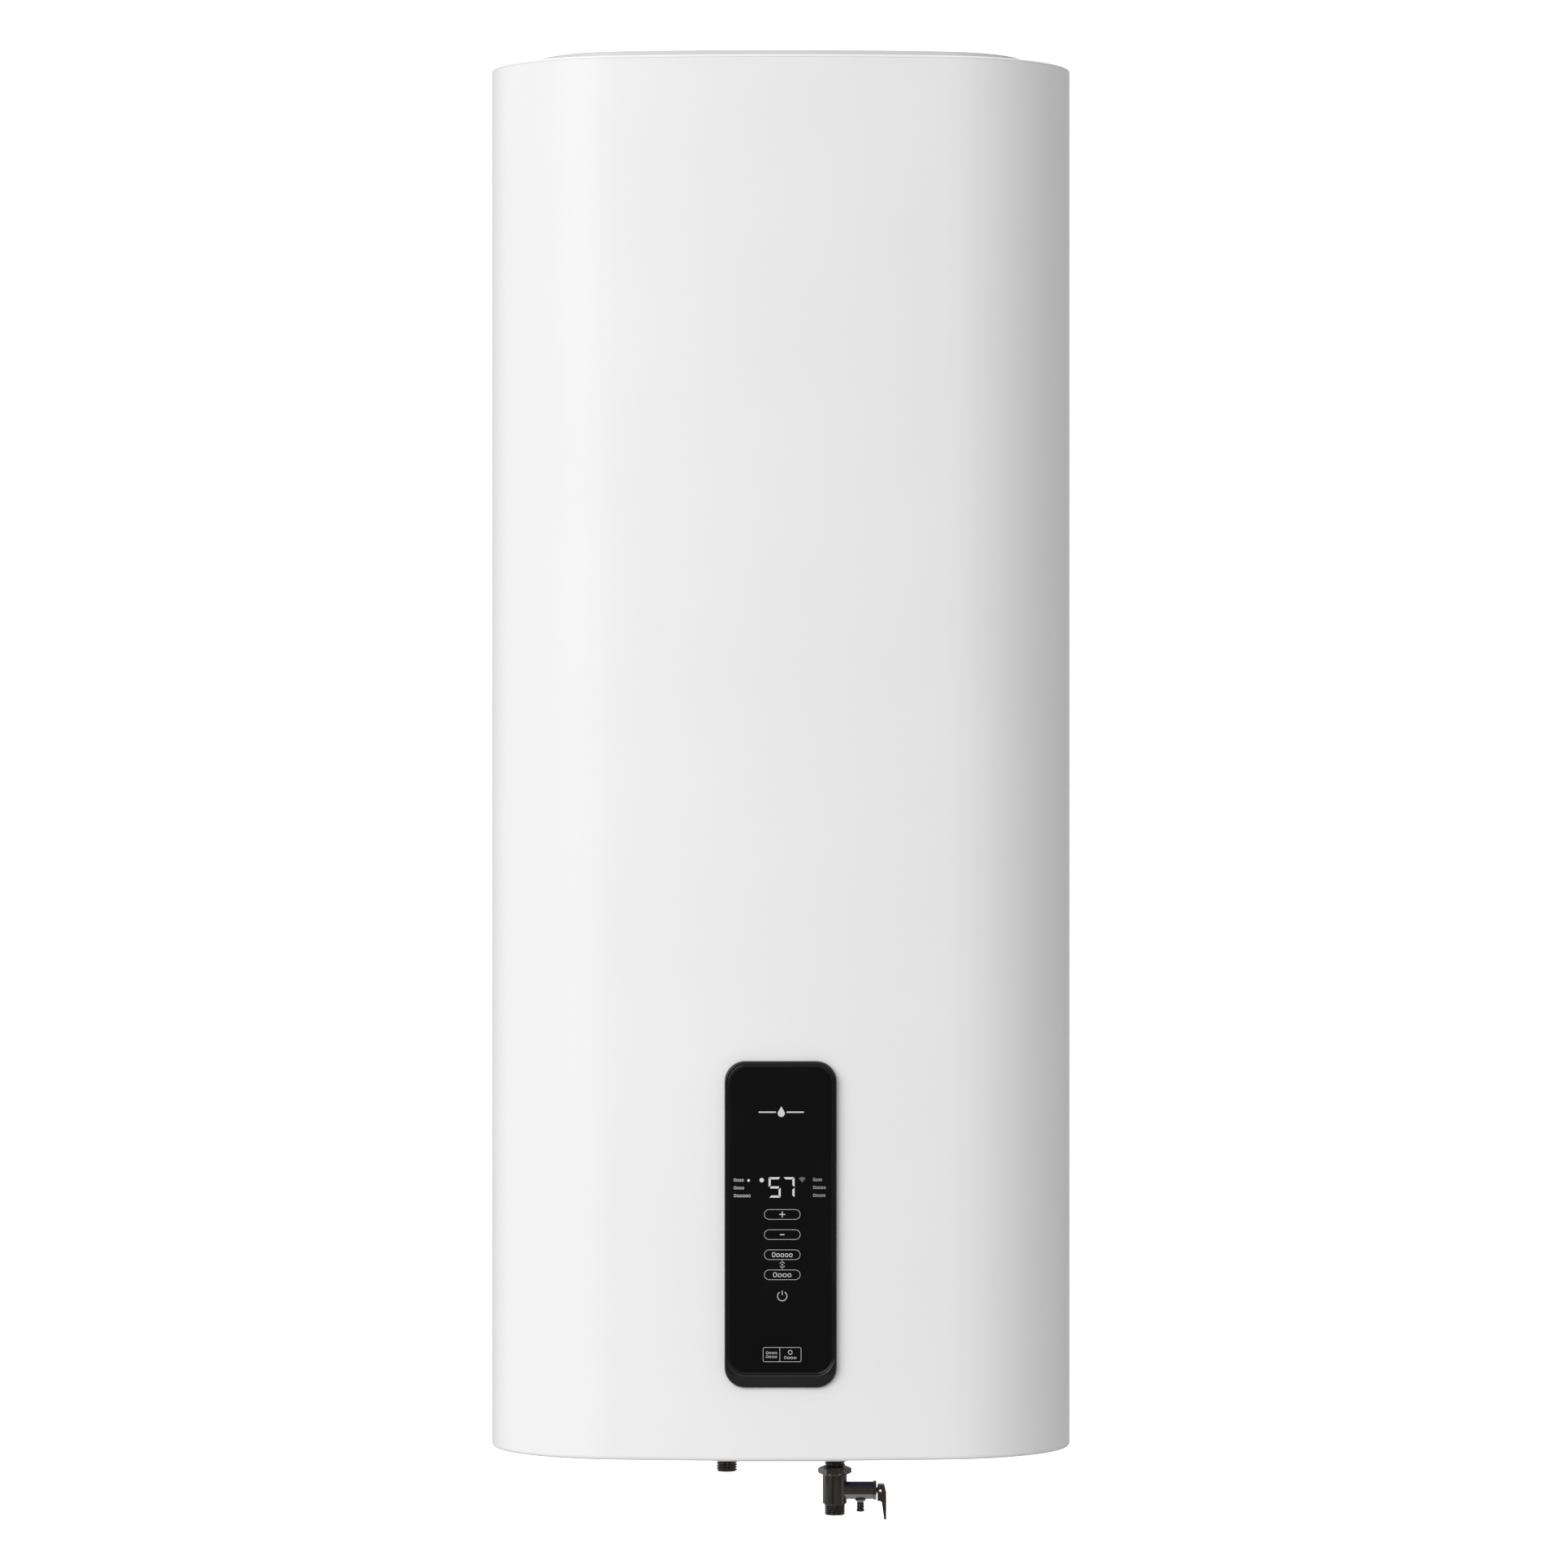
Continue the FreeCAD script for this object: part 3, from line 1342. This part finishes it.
def panel_gasket():
    gasket = panel_body("panel_gasket")
    ring = rectangle(sketch(gasket, "XZ", "-panel_proud"), "0", "0", "panel_width - 2*gasket_inset",
                     "panel_height - 2*gasket_inset")
    pad(gasket, ring, "2*panel_proud")
    soften(gasket, "panel_corner - gasket_inset", along(1))
    hole = rectangle(sketch(gasket, "XZ"), "0", "0", "panel_width - 2*(gasket_inset + gasket_width)",
                     "panel_height - 2*(gasket_inset + gasket_width)")
    pocket(gasket, hole)
    pocket(gasket, behind_arc(gasket, "0"))
    trim = circle(sketch(gasket, "XY"), "0", FRONT_ARC, f"{FRONT_ARC} + gasket_gap")
    circle(trim, "0", FRONT_ARC, f"{FRONT_ARC} + 4*panel_proud")
    pocket(gasket, trim)


def panel_glass():
    glass = panel_body("panel_glass")
    sheet_plan = rectangle(sketch(glass, "XZ", "panel_proud - glass_sunk - glass_thickness"), "0",
                           "glass_level - panel_level", "glass_width", "glass_height")
    pad(glass, sheet_plan, "glass_thickness")
    soften(glass, "glass_corner", along(1))


def display_parts():
    """The display board, and what sits between it and the glass."""
    front = f"({MID_Y}) - casing_depth/2 - panel_proud + glass_sunk + glass_thickness"
    board_front = f"{front} + pad_gap"
    box("display_board", "0", f"{board_front} + board_thickness/2", "bottom_rim + panel_level",
        "display_board_width", "board_thickness", "display_board_height")
    box("display_module", "0", f"{front} + pad_gap/2", "bottom_rim + display_level", "display_width",
        "pad_gap - 0.2", "display_height")
    pads = []
    for number in range(5):
        pads.append(rod(f"touch_pad{number}", "0", board_front,
                        f"bottom_rim + pad_top_level - {number}*pad_pitch", "pad_radius", "pad_gap",
                        kept=False, axis=(1, 0, 0), angle=90))
    group("touch_pads", pads)
    box("wireless_module", "0", f"{board_front} + board_thickness + wireless_depth/2",
        "bottom_rim + wireless_level", "wireless_width", "wireless_depth", "wireless_height")


def panel_back_cover():
    cover = panel_body("panel_back_cover")
    flange = rectangle(sketch(cover, "XZ", "-back_wall"), "0", "0", "back_flange_width", "back_flange_height")
    pad(cover, flange, "back_wall")
    tray = rectangle(sketch(cover, "XZ", "-back_wall"), "0", "0", "back_width", "back_height")
    pad(cover, tray, "back_depth - back_wall", down=True)
    soften(cover, "back_corner", along(1))
    hollow = rectangle(sketch(cover, "XZ"), "0", "0", "back_width - 2*back_wall", "back_height - 2*back_wall")
    pocket(cover, hollow, "back_depth - back_wall")
    holes = sketch(cover, "XZ")
    for sign in ("", "-"):
        for up in ("", "-"):
            circle(holes, f"{sign}panel_screw_across", f"{up}panel_screw_along", "screw_radius")
    pocket(cover, holes)


def panel_screws():
    members = []
    for side in (LEFT, RIGHT):
        for end in (LEFT, RIGHT):
            members.append(screw(
                f"panel_screw_{side + 1}{end + 1}",
                f"{side}*panel_screw_across",
                f"({MID_Y}) - casing_depth/2 + back_wall",
                f"bottom_rim + panel_level + {end}*panel_screw_along",
                *TO_FRONT,
                length="back_wall + panel_proud - glass_thickness - 2",
            ))
    group("panel_screws", members)


# ---------------------------------------------------------------- safety valve


def valve(label):
    """A body whose origin is where the barrel's and the branch's axes cross."""
    return body(label, "nipple_across", MID_Y, VALVE_Z)


def valve_turned(label, corners, about="V_Axis"):
    return turned(label, corners, "nipple_across", MID_Y, VALVE_Z, about)


def hexagon_plan(drawing):
    """A hexagon with a flat facing the front."""
    corners = []
    for n in range(6):
        corners.append((f"hex_across_corners/2*cos({60*n})", f"hex_across_corners/2*sin({60*n})"))
    return polygon(drawing, corners)


def valve_body():
    made = valve("valve_body")
    pad(made, hexagon_plan(sketch(made, "XY", "hex_top - hex_height")), "hex_height")
    corners = polygon(sketch(made, "XZ"), [
        ("hex_across_corners/2 - 2*hex_chamfer", "hex_top"),
        ("hex_across_corners/2 + 2*hex_chamfer", "hex_top - 2*hex_chamfer"),
        ("hex_across_corners/2 + 2*hex_chamfer", "hex_top"),
    ])
    revolve(made, corners, cut=True)
    cone = polygon(sketch(made, "XZ"), [
        ("0", "hex_top"),
        ("hex_cone_low_radius", "hex_top"),
        ("hex_cone_top_radius", "hex_top + hex_cone_height"),
        ("0", "hex_top + hex_cone_height"),
    ])
    revolve(made, cone)
    barrel = polygon(sketch(made, "XZ"), [
        ("0", "thread_low"),
        ("thread_radius - end_chamfer", "thread_low"),
        ("thread_radius", "thread_low + end_chamfer"),
        ("thread_radius", "barrel_low - thread_neck"),
        ("barrel_radius - barrel_chamfer", "barrel_low"),
        ("barrel_radius", "barrel_low + barrel_chamfer"),
        ("barrel_radius", "hex_top - hex_height/2"),
        ("0", "hex_top - hex_height/2"),
    ])
    revolve(made, barrel)
    pad(made, circle(sketch(made, "YZ"), "0", "0", "branch_radius"), "branch_end")
    nozzle = sketch(made, "XZ")
    nozzle.setExpression("AttachmentOffset.Base.x", dim("drain_across"))
    polygon(nozzle, [
        ("0", "drain_end"),
        ("drain_radius", "drain_end"),
        ("drain_radius", "drain_cone_low"),
        ("drain_cone_radius", "drain_cone_low + 2"),
        ("drain_cone_radius", "drain_cone_top"),
        ("0", "drain_cone_top"),
    ])
    revolve(made, nozzle)
    # bores: the socket for the nipple, the check valve's chamber and seat, then the relief side
    bore = polygon(sketch(made, "XZ"), [
        ("0", "thread_low - 1"),
        ("inlet_bore", "thread_low - 1"),
        ("inlet_bore", "check_seat"),
        ("chamber_radius", "check_seat"),
        ("chamber_radius", "socket_low"),
        ("thread_radius", "socket_low"),
        ("thread_radius", "hex_top + 2*hex_cone_height"),
        ("0", "hex_top + 2*hex_cone_height"),
    ])
    revolve(made, bore, cut=True)
    relief = polygon(sketch(made, "XZ"), [
        ("0", "0"),
        ("branch_end + 1", "0"),
        ("branch_end + 1", "relief_chamber"),
        ("relief_seat", "relief_chamber"),
        ("relief_seat", "relief_port"),
        ("0", "relief_port"),
    ])
    revolve(made, relief, about="H_Axis", cut=True)
    drain = circle(sketch(made, "XY", "-relief_port"), "drain_across", "0", "drain_bore")
    pocket(made, drain, "thread_radius*2")


def check_valve():
    seal_low = "check_seat + disc_gap"
    cone_low = f"{seal_low} + cone_seal_thickness"
    cone_top = f"{cone_low} + cone_thickness"
    valve_turned("check_seal", tube_corners("cone_boss", "cone_radius", seal_low, cone_low))
    valve_turned("check_cone", [
        ("0", seal_low),
        ("cone_boss", seal_low),
        ("cone_boss", cone_low),
        ("cone_radius", cone_low),
        ("cone_radius", cone_top),
        ("cone_stem", cone_top),
        ("cone_stem", "cone_stem_top"),
        ("0", "cone_stem_top"),
    ])
    retainer = valve_turned("check_retainer", tube_corners("retainer_bore", "chamber_radius", "retainer_low",
                                                           "retainer_low + retainer_thickness"))
    window = circle(sketch(retainer, "XY", "retainer_low"), "retainer_window_circle", "0", "retainer_window")
    polar(retainer, pocket(retainer, window), window, 6)
    spring("check_spring", "XZ", f"{cone_top} + spring_gap", "retainer_low - spring_gap", "check_coil",
           "check_wire", "check_turns")


def spring(label, plane, low, high, coil, wire, turns):
    """A round-wire compression spring between two levels, upright or along the branch."""
    made = valve(label)
    upright = plane == "XZ"
    start = f"{low} + {wire}"
    section = sketch(made, plane)
    circle(section, *((coil, start) if upright else (start, coil)), wire)
    coils = made.newObject("PartDesign::AdditiveHelix", label + "_coils")
    coils.Profile = section
    coils.ReferenceAxis = (section, ["V_Axis" if upright else "H_Axis"])
    coils.Mode = "height-turns-angle"
    bind(coils, Height=f"{high} - ({low}) - 2*{wire}", Turns=turns)
    doc.recompute()
    return grown(made, coils)


def relief_valve():
    disc_low = "relief_seat + disc_gap"
    head_low = f"{disc_low} + disc_thickness"
    head_high = f"{head_low} + head_thickness"
    valve_turned("relief_disc", [
        (disc_low, "0"),
        (head_low, "0"),
        (head_low, "disc_radius"),
        (disc_low, "disc_radius"),
    ], "H_Axis")
    stem = valve_turned("relief_stem", [
        (head_low, "0"),
        ("pin_across", "0"),
        ("pin_across", "rod_radius"),
        (head_high, "rod_radius"),
        (head_high, "disc_radius"),
        (head_low, "disc_radius"),
    ], "H_Axis")
    end = sketch(stem, "XZ")
    circle(end, "pin_across", "0", "rod_radius")
    pad(stem, end, "2*(rod_radius - 0.6)", both=True)
    pocket(stem, circle(sketch(stem, "XZ"), "pin_across", "0", "pin_running"))
    valve_turned("relief_bonnet", [
        ("bonnet_shank", "rod_bore"),
        ("bonnet_face", "rod_bore"),
        ("bonnet_face", "bonnet_radius"),
        ("branch_end", "bonnet_radius"),
        ("branch_end", "relief_chamber"),
        ("bonnet_shank", "relief_chamber"),
    ], "H_Axis")
    coils = valve("relief_spring")
    section = sketch(coils, "XY")
    low = f"{head_high} + spring_gap"
    circle(section, f"{low} + relief_wire", "relief_coil", "relief_wire")
    helix = coils.newObject("PartDesign::AdditiveHelix", "relief_spring_coils")
    helix.Profile = section
    helix.ReferenceAxis = (section, ["H_Axis"])
    helix.Mode = "height-turns-angle"
    bind(helix, Height=f"bonnet_shank - spring_gap - ({low}) - 2*relief_wire", Turns="relief_turns")
    doc.recompute()
    grown(coils, helix)


def valve_lever():
    lever = valve("valve_lever")
    outline = polygon(sketch(lever, "XZ"), [
        ("lever_left", "lever_head_low"),
        ("lever_tail_left", "lever_head_low"),
        ("lever_tip_left", "lever_tip"),
        ("lever_right", "lever_tip"),
        ("lever_right", "lever_shoulder"),
        ("lever_top_right", "lever_top"),
        ("lever_left", "lever_top"),
    ])
    pad(lever, outline, "lever_width", both=True)
    size = SIZES
    soften(lever, "lever_heel_round", lambda edge: near(edge, size["lever_left"], size["lever_top"]))
    soften(lever, "lever_throat_round",
           lambda edge: near(edge, size["lever_tail_left"], size["lever_head_low"]))
    soften(lever, "lever_tip_round", lambda edge: along(1)(edge)
           and abs(edge.CenterOfMass.z - size["lever_tip"]) < MATCH)
    fork = polygon(sketch(lever, "XZ"), [
        ("lever_left - 1", "fork_low"),
        ("fork_right", "fork_low"),
        ("fork_right", "lever_top + 1"),
        ("lever_left - 1", "lever_top + 1"),
    ])
    pad_cut_both(lever, fork, "fork_width")
    pocket(lever, circle(sketch(lever, "XZ"), "pin_across", "0", "pin_radius"))
    pin = valve("lever_pin")
    wall = circle(circle(sketch(pin, "XZ"), "pin_across", "0", "pin_radius"), "pin_across", "0", "pin_hole")
    pad(pin, wall, "lever_width", both=True)


# ---------------------------------------------------------------- build, check and write


def build():
    casing_front()
    casing_rear()
    top_cap()
    bottom_cap()
    connection_cover()
    casing_screws()
    marker_rings()
    insulation_foam()
    upper_wall_rail()
    hanger_hooks()
    hanger_nuts()
    wall_spacers()
    tank("inlet_tank", RIGHT)
    tank("outlet_tank", LEFT)
    nipples()
    inner_pipes()
    transfer_pipe()
    heater_flange(RIGHT, "inlet")
    heater_flange(LEFT, "outlet")
    flange_gaskets()
    flange_bolts()
    anodes_and_wells()
    thermal_cutout()
    power_electronics()
    leads()
    cable_gland()
    panel_frame()
    panel_gasket()
    panel_glass()
    display_parts()
    panel_back_cover()
    panel_screws()
    valve_body()
    check_valve()
    relief_valve()
    valve_lever()


def check_and_write():
    doc.recompute()
    for thing in doc.Objects:
        if "Invalid" in thing.State or "Error" in thing.State:
            raise RuntimeError(f"{thing.Label} failed: {thing.State}")
    for piece in PIECES:
        if piece.Shape.isNull() or not piece.Shape.isValid():
            raise RuntimeError(f"{piece.Label} has no valid shape")
    os.makedirs("parts", exist_ok=True)
    for piece in PIECES:
        piece.Shape.exportStep(f"parts/{piece.Label}.step")
    print(len(PIECES), "sub-parts written")


build()
check_and_write()
